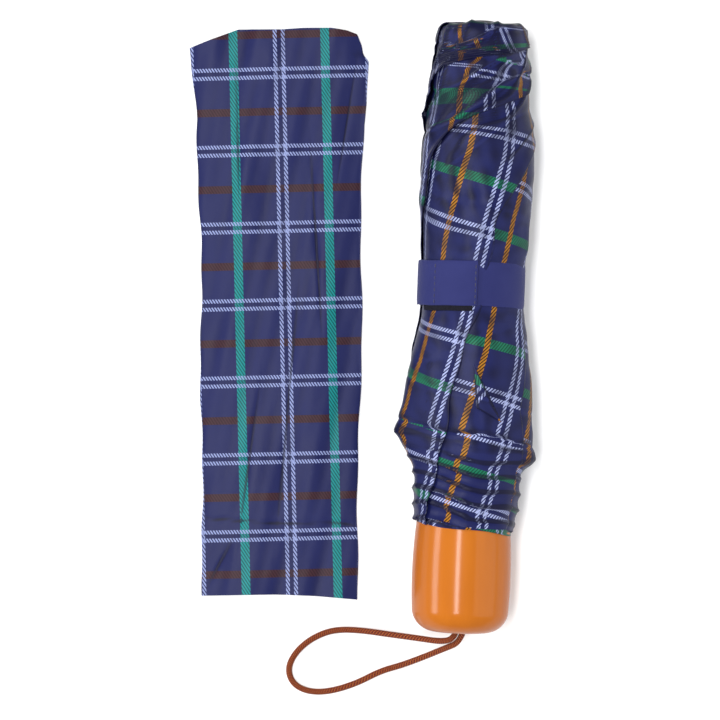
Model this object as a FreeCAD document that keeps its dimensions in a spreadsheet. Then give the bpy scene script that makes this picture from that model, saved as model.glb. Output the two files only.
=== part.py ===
"""A three-fold pocket umbrella, closed and lying on its side, with its flat cover beside it.

Row frame: +Y runs from the grip to the crown, +Z is up, the floor is at z = 0. Millimetres and degrees.
The frame is drawn in the shaft's own directions: r outward from the shaft, t round it, h down from the
crown's pivots towards the grip.
"""
import FreeCAD, Part
import math
import os

import Sketcher
from FreeCAD import Placement, Rotation, Vector

SIZES = {
    # the whole: the crown's end, the grip's end and the grip's top along the shaft
    "top_y": 120, "grip_end_y": -120, "grip_top_y": -77, "run_gap": 0.1, "floor_press": 0.6,
    # shaft tubes, each in the one before it
    "tube_wall": 0.6, "upper_radius": 5.5, "tube_step": 1, "middle_top_y": 100, "lower_top_y": 97,
    "tube_seat": 8,
    # crown
    "cap_height": 11.2, "crown_half_height": 2.8, "pivot_stand": 2.5, "wire_radius": 0.5,
    "slot_gap": 0.2, "cap_step": 0.5, "cap_fillet": 1.2,
    # ribs
    "ribs": 8, "bar_depth": 1.6, "inner_width": 2.0, "outer_width": 1.6, "outer_depth": 1.4,
    "rail_thickness": 0.7, "rail_depth": 2.8, "web_thickness": 0.4, "eye_radius": 1.4,
    "pin_radius": 0.6, "pin_gap": 0.08, "elbow_step": 4, "inner_drop": 150, "knee_step": 2.6,
    "knee_drop": 5, "tip_step": 0.8, "tip_drop": 180, "tip_radius": 1.2, "tip_length": 4,
    "web_start": 3, "elbow_web_end": 35, "knee_web_end": 85,
    # stretchers and runner
    "stretcher_at": 78, "runner_drop": 172, "fork_end": 52, "fork_web": 6, "shoe_radius": 0.9,
    "shoe_pin_length": 3.4, "runner_wall": 1.0, "runner_top": 160, "flange_step": 1.0,
    "flange_height": 5, "notch_width": 4.2, "notch_gap": 0.3, "skirt_step": 0.4, "skirt_end": 184,
    "catch_width": 1.8, "catch_length": 5.0, "catch_height": 1.6, "catch_travel": 0.8,
    "catch_floor": 0.4, "catch_edge": 1.0,
    # grip
    "grip_top_radius": 18.4, "grip_radius": 19.4, "grip_foot_radius": 18.4, "grip_widest": 23,
    "grip_fillet": 9, "grip_dome": 1.0, "cup_gap": 1.6, "cup_depth": 15, "ferrule_radius": 4.5,
    "ferrule_length": 4, "seat_gap": 0.05,
    # closed canopy
    "cloth_rise": 1.5, "cloth_lap": 5, "cloth_gap": 0.2, "cloth_build": 3.4, "skirt_ease": 0.25,
    "skirt_build": 0.9, "neck_hollow": 11.0, "neck_drop": 2, "hem_lap": 2.5, "mouth_depth": 1.5,
    "hem_half": 27.3, "band_top_y": 25, "band_end_y": 8, "band_build": 2.9, "band_press": 0.7,
    "band_margin": 2, "strap_gap": 0.2, "strap_thickness": 0.7, "tab_gap": 0.3, "tab_thickness": 0.8,
    "tab_end_angle": 87, "strap_flare": 1, "fold_width": 1.0, "fold_depth": 1.4, "fold_margin": 6,
    # cover
    "cover_left": 115.7, "cover_ply": 1.2,
    # wrist cord
    "cord_radius": 1.2,
}

# sizes that follow others, so that pieces stay seated on each other
FITTED = {
    "pivot_y": "top_y - cap_height - crown_half_height",
    "upper_end_y": "grip_top_y + tube_step",
    "lower_end_y": "grip_end_y + tube_seat",
    "pivot_circle": "upper_radius + pivot_stand",
    "crown_radius": "upper_radius + pivot_stand + eye_radius",
    "cap_radius": "upper_radius + cap_step",
    "elbow_circle": "upper_radius + pivot_stand + elbow_step",
    "knee_circle": "upper_radius + pivot_stand + elbow_step + knee_step",
    "tip_circle": "upper_radius + pivot_stand + elbow_step + knee_step + tip_step",
    "flange_radius": "upper_radius + pivot_stand + flange_step",
    "skirt_radius": "upper_radius + pivot_stand + skirt_step",
    "notch_reach": "upper_radius + pivot_stand - shoe_radius - notch_gap",
    "cup_radius": "upper_radius + pivot_stand + flange_step + cup_gap",
    "cup_end_y": "grip_top_y - cup_depth",
    "grip_widest_y": "grip_top_y - grip_widest",
    "cloth_top_y": "top_y - cloth_rise",
    "cloth_end_y": "grip_top_y - cloth_lap",
    "hem_y": "grip_top_y + hem_lap",
    "neck_y": "top_y - cap_height - crown_half_height - neck_drop",
    "cloth_hollow":
        "upper_radius + pivot_stand + elbow_step + knee_step + tip_step + tip_radius + cloth_gap",
    "cloth_skirt": "grip_radius - skirt_ease",
}
FITTED["cloth_height"] = FITTED["cloth_hollow"] + " + cloth_build"
FITTED["shaft_height"] = FITTED["cloth_height"] + " - floor_press"
FITTED["band_half"] = FITTED["cloth_hollow"] + " + band_build"
FITTED["band_height"] = FITTED["band_half"] + " - band_press"

doc = FreeCAD.newDocument("pocket_umbrella")
sheet = doc.addObject("Spreadsheet::Sheet", "sizes")
for row, (alias, value) in enumerate(SIZES.items(), 1):
    sheet.set(f"A{row}", alias)
    sheet.set(f"B{row}", str(value))
    sheet.setAlias(f"B{row}", alias)
doc.recompute()


def in_aliases(words, prefix=""):
    """An expression with each fitted size written out and each alias given the sheet's name."""
    terms = [f"({FITTED[word]})" if word in FITTED else word for word in words.split()]
    terms = " ".join(terms).replace("(", "( ").replace(")", " )").split()
    return " ".join(prefix + term if term in SIZES else term for term in terms)


def value_of(words):
    """The number that an expression of sizes stands for."""
    sheet.set("D1", "=" + in_aliases(words))
    doc.recompute([sheet])
    return float(sheet.get("D1"))


def cell(alias):
    return value_of(alias) if alias in FITTED else float(sheet.get(alias))


def bind(piece, **sizes):
    """Tie a piece's properties to expressions of the sheet's aliases."""
    for name, words in sizes.items():
        piece.setExpression(name, in_aliases(words, "sizes."))
    return piece


# the umbrella and its cover are centred on x = 0 together
shaft_x = (cell("cover_left") - cell("hem_half")) / 2
axis_foot = Vector(shaft_x, 0, cell("shaft_height"))
crown_pivot = Vector(shaft_x, cell("pivot_y"), cell("shaft_height"))
rib_count = int(cell("ribs"))


def shaft_frame(azimuth=0.0):
    """Local x is r at this azimuth, y is t and z is h."""
    turn = Rotation(Vector(1, 0, 0), 90) * Rotation(Vector(0, 0, 1), azimuth)
    return Placement(crown_pivot, turn)


def along(frame, r, drop, lean):
    """A bar's frame: its z leaves the point (r, drop) at lean degrees from h towards r."""
    return frame * Placement(Vector(r, 0, drop), Rotation(Vector(0, 1, 0), lean))


def block(frame, corner, x_size, y_size, z_size):
    piece = doc.addObject("Part::Box", "block")
    bind(piece, Length=x_size, Width=y_size, Height=z_size)
    piece.Placement = frame * Placement(Vector(*corner), Rotation())
    return piece


def rod(frame, foot, radius, length, lay=None):
    """A cylinder along the frame's z, or across it along y when lay is "across"."""
    piece = doc.addObject("Part::Cylinder", "rod")
    bind(piece, Radius=radius, Height=length)
    turn = Rotation(Vector(1, 0, 0), -90) if lay == "across" else Rotation()
    piece.Placement = frame * Placement(Vector(*foot), turn)
    return piece


def across(frame, z, radius, width):
    """A cylinder centred across a bar at z."""
    return rod(frame, (0, -value_of(width) / 2, z), radius, width, "across")


def fused(*pieces):
    whole = doc.addObject("Part::MultiFuse", "fused")
    whole.Shapes = list(pieces)
    return whole


def cut(base, *tools):
    whole = doc.addObject("Part::Cut", "cut")
    whole.Base = base
    whole.Tool = tools[0] if len(tools) == 1 else fused(*tools)
    return whole


nodes = []


def node(piece, label):
    piece.Label = label
    nodes.append(piece)
    return piece


def flat_sketch(body, name):
    """A sketch on the body's own XY plane."""
    sketch = body.newObject("Sketcher::SketchObject", name)
    plane = next(f for f in body.Origin.OriginFeatures if f.Role == "XY_Plane")
    sketch.AttachmentSupport = [(plane, "")]
    sketch.MapMode = "FlatFace"
    return sketch


def turned(label, outline):
    """A PartDesign body: an outline of (radius, y) expressions turned round the shaft's axis."""
    body = doc.addObject("PartDesign::Body", label)
    sketch = flat_sketch(body, "profile")
    corners = [Vector(value_of(r), value_of(y), 0) for r, y in outline]
    for number, corner in enumerate(corners):
        sketch.addGeometry(Part.LineSegment(corner, corners[(number + 1) % len(corners)]), False)
    constrain(sketch, outline, corners)
    turn = body.newObject("PartDesign::Revolution", "turn")
    turn.Profile = sketch
    turn.ReferenceAxis = (sketch, ["V_Axis"])
    turn.Angle = 360
    body.Placement = Placement(axis_foot, Rotation())
    return node(body, label)


def constrain(sketch, outline, corners):
    """Join the outline's lines and bind each corner's place to the sheet."""
    count = len(corners)
    for number in range(count):
        sketch.addConstraint(Sketcher.Constraint("Coincident", number, 2, (number + 1) % count, 1))
    for number, (r, y) in enumerate(outline):
        for kind, words, value in (("DistanceX", r, corners[number].x), ("DistanceY", y, corners[number].y)):
            if abs(value) < 1e-9:
                lock = Sketcher.Constraint("PointOnObject", number, 1, -2 if kind == "DistanceX" else -1)
                sketch.addConstraint(lock)
                continue
            made = sketch.addConstraint(Sketcher.Constraint(kind, -1, 1, number, 1, value))
            sketch.setExpression(f"Constraints[{made}]", in_aliases(words, "sizes."))


# ---- shaft ----------------------------------------------------------------------------------------


def tube(label, radius, bore, top, end):
    turned(label, [(radius, end), (radius, top), (bore, top), (bore, end)])


upper_bore = "upper_radius - tube_wall"
middle_radius = upper_bore + " - run_gap"
middle_bore = middle_radius + " - tube_wall"
lower_radius = middle_bore + " - run_gap"
lower_bore = lower_radius + " - tube_wall"
crown_top_y = "pivot_y + crown_half_height"
tube("upper_tube", "upper_radius", upper_bore, crown_top_y, "upper_end_y")
tube("middle_tube", middle_radius, middle_bore, "middle_top_y", "grip_top_y")
tube("lower_tube", lower_radius, lower_bore, "lower_top_y", "lower_end_y")

# ---- crown ----------------------------------------------------------------------------------------


def crown():
    frame = shaft_frame()
    half = cell("crown_half_height")
    height = "2 * crown_half_height"
    disc = rod(frame, (0, 0, -half), "crown_radius", height)
    bore = rod(frame, (0, 0, -half), "upper_radius", height)
    groove = doc.addObject("Part::Torus", "groove")
    bind(groove, Radius1="pivot_circle", Radius2="wire_radius + pin_gap")
    groove.Placement = frame
    slots = []
    slot_width = cell("inner_width") + 2 * cell("slot_gap")
    inner_reach = cell("pivot_circle") - cell("eye_radius") - cell("slot_gap")
    for number in range(rib_count):
        turn = shaft_frame(360 * number / rib_count)
        corner = (inner_reach, -slot_width / 2, -half)
        slots.append(block(turn, corner, "crown_radius", "inner_width + 2 * slot_gap", height))
    node(cut(disc, bore, groove, *slots), "crown")
    wire = doc.addObject("Part::Torus", "crown_wire")
    bind(wire, Radius1="pivot_circle", Radius2="wire_radius")
    wire.Placement = frame
    node(wire, "crown_wire")


crown()
turned("top_cap", [
    ("0", crown_top_y), ("cap_radius", crown_top_y), ("cap_radius", "top_y - cap_fillet"),
    ("cap_radius - cap_fillet", "top_y"), ("0", "top_y"),
])

# ---- ribs and stretchers --------------------------------------------------------------------------

elbow = (cell("elbow_circle"), cell("inner_drop"))
knee = (cell("knee_circle"), cell("knee_drop"))
tip = (cell("tip_circle"), cell("tip_drop"))
pivot = (cell("pivot_circle"), 0.0)
runner_pivot = (cell("pivot_circle"), cell("runner_drop"))


def lean_of(start, end):
    return math.degrees(math.atan2(end[0] - start[0], end[1] - start[1]))


def reach(start, end):
    return math.dist(start, end)


inner_lean = lean_of(pivot, elbow)
joint_at = (
    pivot[0] + cell("stretcher_at") * math.sin(math.radians(inner_lean)),
    cell("stretcher_at") * math.cos(math.radians(inner_lean)),
)


def inner_rib(number, azimuth):
    frame = along(shaft_frame(azimuth), *pivot, inner_lean)
    length = reach(pivot, elbow)
    corner = (-cell("bar_depth") / 2, -cell("inner_width") / 2, 0)
    body = block(frame, corner, "bar_depth", "inner_width", f"{length}")
    places = (0.0, cell("stretcher_at"), length)
    eyes = [across(frame, z, "eye_radius", "inner_width") for z in places]
    holes = [across(frame, z, "pin_radius + pin_gap", "inner_width") for z in places]
    node(cut(fused(body, *eyes), *holes), f"rib_inner_{number}")


channel = "inner_width + 2 * slot_gap + 2 * rail_thickness"


def middle_rib(number, azimuth):
    """A channel of two rails, closed by a web on the outside near the elbow and inside near the knee."""
    frame = along(shaft_frame(azimuth), *elbow, lean_of(elbow, knee))
    length = reach(elbow, knee)
    rail_in = cell("inner_width") / 2 + cell("slot_gap")
    half_width = rail_in + cell("rail_thickness")
    depth = cell("rail_depth")
    end = cell("eye_radius")
    rail_length = f"{length} + 2 * eye_radius"
    rails = [
        block(frame, (-depth / 2, side, -end), "rail_depth", "rail_thickness", rail_length)
        for side in (rail_in, -half_width)
    ]
    # the channel's own x points inward here, because the middle rib runs back up
    corner = (-depth / 2, -half_width, cell("web_start"))
    elbow_web = block(frame, corner, "web_thickness", channel, "elbow_web_end - web_start")
    corner = (depth / 2 - cell("web_thickness"), -half_width, length - cell("knee_web_end"))
    knee_web = block(frame, corner, "web_thickness", channel, "knee_web_end - web_start")
    pins = [across(frame, z, "pin_radius", channel) for z in (0.0, length)]
    node(fused(*rails, elbow_web, knee_web, *pins), f"rib_middle_{number}")


def outer_rib(number, azimuth):
    frame = along(shaft_frame(azimuth), *knee, lean_of(knee, tip))
    length = reach(knee, tip)
    corner = (-cell("outer_depth") / 2, -cell("outer_width") / 2, 0)
    body = block(frame, corner, "outer_depth", "outer_width", f"{length}")
    eye = across(frame, 0.0, "eye_radius", "outer_width")
    hole = across(frame, 0.0, "pin_radius + pin_gap", "outer_width")
    end = rod(frame, (0, 0, length - cell("tip_length")), "tip_radius", "tip_length")
    node(cut(fused(body, eye, end), hole), f"rib_outer_{number}")


def stretcher(number, azimuth):
    """A fork that straddles the inner rib, then one bar down to its shoe in the runner."""
    frame = along(shaft_frame(azimuth), *joint_at, lean_of(joint_at, runner_pivot))
    length = reach(joint_at, runner_pivot)
    fork_in = cell("inner_width") / 2 + cell("slot_gap")
    half_width = fork_in + cell("rail_thickness")
    depth = cell("bar_depth")
    start = cell("fork_end") - cell("fork_web")
    prong_length = "fork_end + shoe_radius"
    fork = [
        block(frame, (-depth / 2, side, -cell("shoe_radius")), "bar_depth", "rail_thickness", prong_length)
        for side in (fork_in, -half_width)
    ]
    web = block(frame, (-depth / 2, -half_width, start), "bar_depth", channel, "fork_web")
    corner = (-depth / 2, -cell("inner_width") / 2, start)
    shank = block(frame, corner, "bar_depth", "inner_width", f"{length - start}")
    pin = across(frame, 0.0, "pin_radius", channel)
    shoe = across(frame, length, "shoe_radius", "inner_width")
    shoe_pin = across(frame, length, "pin_radius", "shoe_pin_length")
    node(fused(*fork, web, shank, pin, shoe, shoe_pin), f"stretcher_{number}")


for number in range(rib_count):
    azimuth = 360 * number / rib_count
    inner_rib(number + 1, azimuth)
    middle_rib(number + 1, azimuth)
    outer_rib(number + 1, azimuth)
    stretcher(number + 1, azimuth)

# ---- folded cloth between the ribs, one band for each part of a rib ----------------------------------


def folds():
    """Two ribs, half a turn apart, each carry three folds: beside its inner, middle and outer part."""
    margin = cell("fold_margin")
    bands = (("inner", pivot, elbow), ("middle", knee, elbow), ("outer", knee, tip))
    for rib in (1, 1 + rib_count // 2):
        azimuth = 360 * (rib - 0.5) / rib_count
        for name, top, foot in bands:
            radius = (top[0] + foot[0]) / 2
            drop = foot[1] - top[1] - 2 * margin
            corner = (radius - cell("fold_depth") / 2, -cell("fold_width") / 2, top[1] + margin)
            piece = block(shaft_frame(azimuth), corner, "fold_depth", "fold_width", f"{drop}")
            node(piece, f"fold_{name}_{rib}")


folds()

# ---- runner and its catch -------------------------------------------------------------------------


def runner():
    """A sleeve with a notched flange for the stretchers' shoes and a skirt that holds the catch."""
    frame = shaft_frame()
    bore = "upper_radius + run_gap"
    wall = "upper_radius + run_gap + runner_wall"
    length = "skirt_end - runner_top"
    top = cell("runner_top")
    flange_top = cell("runner_drop") - cell("flange_height") / 2
    skirt_top = cell("runner_drop") + cell("flange_height") / 2
    sleeve = rod(frame, (0, 0, top), wall, length)
    flange = rod(frame, (0, 0, flange_top), "flange_radius", "flange_height")
    skirt = rod(frame, (0, 0, skirt_top), "skirt_radius", "skirt_end - runner_drop - flange_height / 2")
    hole = rod(frame, (0, 0, top), bore, length)
    notches = []
    for number in range(rib_count):
        turn = shaft_frame(360 * number / rib_count)
        corner = (cell("notch_reach"), -cell("notch_width") / 2, flange_top)
        notches.append(block(turn, corner, "flange_radius", "notch_width", "flange_height"))
    # the catch's pocket opens between the two upper stretchers
    beside = shaft_frame(catch_azimuth)
    gap = cell("slot_gap")
    width = cell("catch_width")
    floor = value_of(bore) + cell("catch_floor")
    catch_top = skirt_top + gap + cell("catch_edge")
    corner = (floor, -width / 2 - gap, catch_top - gap)
    pocket = block(
        beside, corner, "skirt_radius", "catch_width + 2 * slot_gap", "catch_length + 2 * slot_gap"
    )
    node(cut(fused(sleeve, flange, skirt), hole, pocket, *notches), "runner")
    corner = (floor + cell("catch_travel") + gap, -width / 2, catch_top)
    catch = block(beside, corner, "catch_height + catch_travel", "catch_width", "catch_length")
    node(catch, "runner_catch")


catch_azimuth = 90 + 180 / rib_count
runner()

# ---- grip -----------------------------------------------------------------------------------------


def grip():
    """A turned stub: a bulging side, a rounded foot, a cup for the runner and a socket for the tube."""
    body = doc.addObject("PartDesign::Body", "grip")
    sketch = flat_sketch(body, "profile")
    top, end, dome = cell("grip_top_y"), cell("grip_end_y"), cell("grip_dome")
    top_radius, foot_radius = cell("grip_top_radius"), cell("grip_foot_radius")
    side_foot = end + dome
    socket = value_of(lower_radius + " + seat_gap")
    ferrule = value_of("ferrule_radius + seat_gap")
    ferrule_top = value_of("grip_end_y + ferrule_length + seat_gap")
    cup, cup_end = cell("cup_radius"), cell("cup_end_y")

    def dome_at(radius):
        return Vector(radius, end + dome * (radius / foot_radius) ** 2, 0)

    widest = Vector(cell("grip_radius"), cell("grip_widest_y"), 0)
    side = Part.Arc(Vector(top_radius, top, 0), widest, Vector(foot_radius, side_foot, 0))
    foot = Part.Arc(dome_at(foot_radius), dome_at((foot_radius + ferrule) / 2), dome_at(ferrule))
    inside = [
        (ferrule, dome_at(ferrule).y), (ferrule, ferrule_top), (socket, ferrule_top), (socket, cup_end),
        (cup, cup_end), (cup, top), (top_radius, top),
    ]
    sketch.addGeometry(side, False)
    sketch.addGeometry(foot, False)
    for start, stop in zip(inside, inside[1:]):
        sketch.addGeometry(Part.LineSegment(Vector(*start, 0), Vector(*stop, 0)), False)
    turn = body.newObject("PartDesign::Revolution", "turn")
    turn.Profile = sketch
    turn.ReferenceAxis = (sketch, ["V_Axis"])
    turn.Angle = 360
    doc.recompute()
    edges = [
        f"Edge{i}" for i, edge in enumerate(turn.Shape.Edges, 1)
        if isinstance(edge.Curve, Part.Circle) and abs(edge.Curve.Center.y - side_foot) < 0.01
    ]
    rounding = body.newObject("PartDesign::Fillet", "rounding")
    rounding.Base = (turn, edges)
    bind(rounding, Radius="grip_fillet")
    body.Tip = rounding
    body.Placement = Placement(axis_foot, Rotation())
    node(body, "grip")


grip()
turned("cord_ferrule", [
    ("0", "grip_end_y"), ("ferrule_radius", "grip_end_y"),
    ("ferrule_radius", "grip_end_y + ferrule_length"), ("0", "grip_end_y + ferrule_length"),
])

# ---- closed canopy, its strap and tab ---------------------------------------------------------------


def ellipse(y, half_width, half_height):
    ring = doc.addObject("Part::Ellipse", "ring")
    bind(ring, MajorRadius=half_width, MinorRadius=half_height)
    ring.Placement = Placement(Vector(shaft_x, y, cell("shaft_height")), Rotation(Vector(1, 0, 0), 90))
    return ring


def lofted(rings):
    loft = doc.addObject("Part::Loft", "loft")
    loft.Sections = rings
    loft.Solid = True
    loft.Ruled = True
    return loft


def above_floor(piece):
    """The piece without whatever would reach under the floor."""
    low = doc.addObject("Part::Box", "floor")
    span = cell("top_y") - cell("grip_end_y")
    low.Length = low.Width = 2 * span
    low.Height = span
    low.Placement = Placement(Vector(shaft_x - span, -span, -span), Rotation())
    return cut(piece, low)


# places down the closed cloth: y, and how much its half width and half height differ from the bundle's
CLOTH_STATIONS = [
    ("cloth_top_y", "-3.6", "-3.7"), ("cloth_top_y - 6.5", "-2.4", "-2.5"), ("cloth_top_y - 23.5", "0", "-0.4"),
    ("cloth_top_y - 52.5", "2.0", "0"), ("cloth_top_y - 78.5", "1.0", "0"),
    ("band_top_y + 2 * band_margin", "0.6", "0"),
]
HEM_STATIONS = [
    ("band_end_y - 2 * band_margin", "0.6", "0"), ("hem_y + 62.5", "2.6", "0"), ("hem_y + 33.5", "tips", "0"),
    ("hem_y + 22.5", "tips", "0"), ("hem_y + 15.5", "1.2", "0"),
]


def canopy():
    """The closed cloth: a hollow bundle that narrows under its strap and spreads where the hem's tips are."""

    def station(y, wider, taller):
        half = "hem_half" if wider == "tips" else f"cloth_height + {wider}"
        return ellipse(value_of(y), half, f"cloth_height + {taller}")

    def under_strap(y):
        return ellipse(value_of(y), "band_half", "band_height")

    collar = "cloth_skirt + skirt_build"
    cloth = lofted([
        *(station(*place) for place in CLOTH_STATIONS),
        under_strap("band_top_y + band_margin"), under_strap("band_end_y - band_margin"),
        *(station(*place) for place in HEM_STATIONS),
        ellipse(cell("cloth_end_y"), collar, collar),
    ])
    frame = shaft_frame()
    down = cell("pivot_y")
    rim = down - cell("cloth_top_y")
    depth = cell("mouth_depth")
    overlap = cell("run_gap")
    neck_length = f"cloth_top_y - mouth_depth - neck_y + {overlap}"
    neck = rod(frame, (0, 0, rim + depth), "neck_hollow", neck_length)
    hollow = rod(frame, (0, 0, down - cell("neck_y")), "cloth_hollow", f"neck_y - hem_y + {overlap}")
    skirt = rod(frame, (0, 0, down - cell("hem_y")), "cloth_skirt", "hem_y - cloth_end_y + 1")
    mouth = rod(frame, (0, 0, rim - depth), "cap_radius + tab_gap", "3 * mouth_depth")
    node(above_floor(cut(cloth, neck, hollow, skirt, mouth)), "canopy_bundle")


def strap_ring(gap, thickness):
    """An elliptical band round the bundle: its gap and its thickness come as expressions."""
    top, end, flare = cell("band_top_y"), cell("band_end_y"), cell("strap_flare")

    def ring(y, outward):
        return ellipse(y, f"band_half + {outward}", f"band_height + {outward}")

    outer = lofted([ring(y, f"{gap} + {thickness}") for y in (top, end)])
    inner = lofted([ring(y, gap) for y in (top + flare, end - flare)])
    return cut(outer, inner)


def strap():
    node(above_floor(strap_ring("strap_gap", "strap_thickness")), "tie_strap")


def tab():
    """The strap's free end: from the left edge over the top, on the strap."""
    ring = strap_ring("strap_gap + strap_thickness + tab_gap", "tab_thickness")
    wedge = doc.addObject("Part::Wedge", "wedge")
    span = 3 * cell("cloth_height")
    angle = math.radians(cell("tab_end_angle"))
    wedge.Xmin, wedge.Xmax, wedge.X2min, wedge.X2max = -span, 0, -span, span * math.cos(angle)
    wedge.Ymin, wedge.Ymax = 0, span * math.sin(angle)
    wedge.Zmin = wedge.Z2min = cell("pivot_y") - cell("band_top_y")
    wedge.Zmax = wedge.Z2max = cell("pivot_y") - cell("band_end_y")
    wedge.Placement = shaft_frame()
    part = doc.addObject("Part::Common", "tab")
    part.Base, part.Tool = ring, wedge
    node(part, "strap_tab")


canopy()
strap()
tab()

# ---- cover ----------------------------------------------------------------------------------------


# the cover's outline from its mouth's left corner clockwise, from the shaft's axis: x from the left edge, y
COVER_OUTLINE = [(0, 107), (18.7, 115), (55.7, 117.5), (68.7, 115), (71.2, 101), (75.2, -110), (13.7, -110.5)]


def cover_ply(label, bottom):
    """One flat ply: a bag that is wider at its uneven mouth."""
    outline = [(x - cell("cover_left"), y) for x, y in COVER_OUTLINE]
    body = doc.addObject("PartDesign::Body", label)
    sketch = flat_sketch(body, "outline")
    for start, stop in zip(outline, outline[1:] + outline[:1]):
        sketch.addGeometry(Part.LineSegment(Vector(*start, 0), Vector(*stop, 0)), False)
    pad = body.newObject("PartDesign::Pad", "ply")
    pad.Profile = sketch
    bind(pad, Length="cover_ply")
    body.Placement = Placement(Vector(shaft_x, 0, bottom), Rotation())
    node(body, label)


cover_ply("cover_back", 0)
cover_ply("cover_front", cell("cover_ply"))

# ---- wrist cord -----------------------------------------------------------------------------------

cord_route = [
    # x from the shaft's axis, y, z: out of the grip's foot, down to the floor, round and back
    (-1.4, -120.0, 19.6), (-2.2, -122.9, 19.0), (-7.0, -124.2, 17.0), (-16.0, -123.6, 12.0),
    (-27.0, -123.1, 6.0), (-37.3, -122.3, 2.4), (-46.0, -122.2, 1.4), (-52.5, -123.5, 1.3),
    (-59.5, -127.3, 1.3), (-64.8, -132.8, 1.3), (-67.2, -139.0, 1.3), (-64.8, -144.8, 1.3),
    (-58.6, -147.6, 1.3), (-50.5, -147.3, 1.3), (-40.0, -143.8, 1.3), (-30.0, -138.2, 1.3),
    (-22.0, -135.6, 2.2), (-13.0, -131.4, 6.5), (-5.0, -127.0, 13.5), (0.2, -124.2, 17.8),
    (1.4, -120.0, 19.6),
]


def cord_path(points):
    """Straight runs joined by tangent arcs. Prints each arc's radius."""
    edges, radii = [], []
    here = points[0]
    for before, corner, after in zip(points, points[1:], points[2:]):
        back, ahead = (before - corner), (after - corner)
        shorter = min(back.Length, ahead.Length)
        half_turn = (math.pi - back.getAngle(ahead)) / 2
        trim = 0.45 * shorter
        radii.append(trim / math.tan(half_turn))
        back.normalize()
        ahead.normalize()
        start, stop = corner + back * trim, corner + ahead * trim
        bisector = (back + ahead).normalize()
        middle = corner + bisector * (radii[-1] / math.cos(half_turn) - radii[-1])
        edges.append(Part.LineSegment(here, start).toShape())
        edges.append(Part.Arc(start, middle, stop).toShape())
        here = stop
    edges.append(Part.LineSegment(here, points[-1]).toShape())
    print("cord radii", [round(r, 1) for r in radii])
    return Part.Wire(edges)


def wrist_cord():
    points = [Vector(x + shaft_x, y, z) for x, y, z in cord_route]
    path = cord_path(points)
    radius = cell("cord_radius")
    heading = points[1] - points[0]
    section = Part.Wire(Part.Circle(points[0], heading, radius).toShape())
    solid = path.makePipeShell([section], True, False)
    # both ends leave the ferrule's face squarely
    span = 2 * cell("ferrule_radius")
    face = Part.makeBox(2 * span, span, 2 * span, Vector(shaft_x - span, points[0].y, points[0].z - span))
    solid = solid.cut(face)
    piece = doc.addObject("Part::Feature", "wrist_cord")
    piece.Shape = solid
    tube_volume = math.pi * radius**2 * path.Length
    print("cord length", round(path.Length, 1), "volume ratio", round(solid.Volume / tube_volume, 4))
    node(piece, "wrist_cord")


wrist_cord()

# ---- build and write ------------------------------------------------------------------------------

doc.recompute()
for item in doc.Objects:
    if {"Invalid", "Error"} & set(item.State):
        raise RuntimeError(f"{item.Label} ({item.Name}) failed: {item.State}")
os.makedirs("parts", exist_ok=True)
for piece in nodes:
    if piece.Shape.isNull() or not piece.Shape.isValid() or not piece.Shape.Solids:
        raise RuntimeError(f"{piece.Label} has no valid solid")
    piece.Shape.exportStep(f"parts/{piece.Label}.step")
print(len(nodes), "nodes")
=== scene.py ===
"""The look of a closed pocket umbrella and its flat cover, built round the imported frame. Metres."""

import bmesh
import bpy
import math
import numpy as np
from mathutils import Matrix, Vector


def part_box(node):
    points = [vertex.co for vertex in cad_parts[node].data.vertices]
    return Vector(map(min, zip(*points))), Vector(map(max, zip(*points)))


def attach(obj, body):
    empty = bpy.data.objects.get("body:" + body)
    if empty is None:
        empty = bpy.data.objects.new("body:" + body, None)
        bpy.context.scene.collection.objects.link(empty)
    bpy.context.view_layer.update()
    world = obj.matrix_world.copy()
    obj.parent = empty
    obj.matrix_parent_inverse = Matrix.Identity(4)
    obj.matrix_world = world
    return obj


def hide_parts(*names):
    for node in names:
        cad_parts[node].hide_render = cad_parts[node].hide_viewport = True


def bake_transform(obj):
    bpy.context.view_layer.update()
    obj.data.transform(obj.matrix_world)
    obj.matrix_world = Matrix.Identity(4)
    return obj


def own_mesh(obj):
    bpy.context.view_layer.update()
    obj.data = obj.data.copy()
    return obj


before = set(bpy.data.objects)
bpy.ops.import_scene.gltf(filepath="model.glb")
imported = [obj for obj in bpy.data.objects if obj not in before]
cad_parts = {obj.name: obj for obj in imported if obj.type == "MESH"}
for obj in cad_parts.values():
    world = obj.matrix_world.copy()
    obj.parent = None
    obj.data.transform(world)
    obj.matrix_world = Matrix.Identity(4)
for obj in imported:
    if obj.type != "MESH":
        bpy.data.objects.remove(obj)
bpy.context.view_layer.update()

MM = 0.001
TURN = 2 * math.pi

# ---- places read from the frame ------------------------------------------------------------------

grip_low, grip_high = (Vector(corner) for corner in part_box("grip"))
# the umbrella's axis: it lies along y
shaft = Vector(((grip_low.x + grip_high.x) / 2, 0, (grip_low.z + grip_high.z) / 2))


# ---- surfaces ------------------------------------------------------------------------------------


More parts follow.
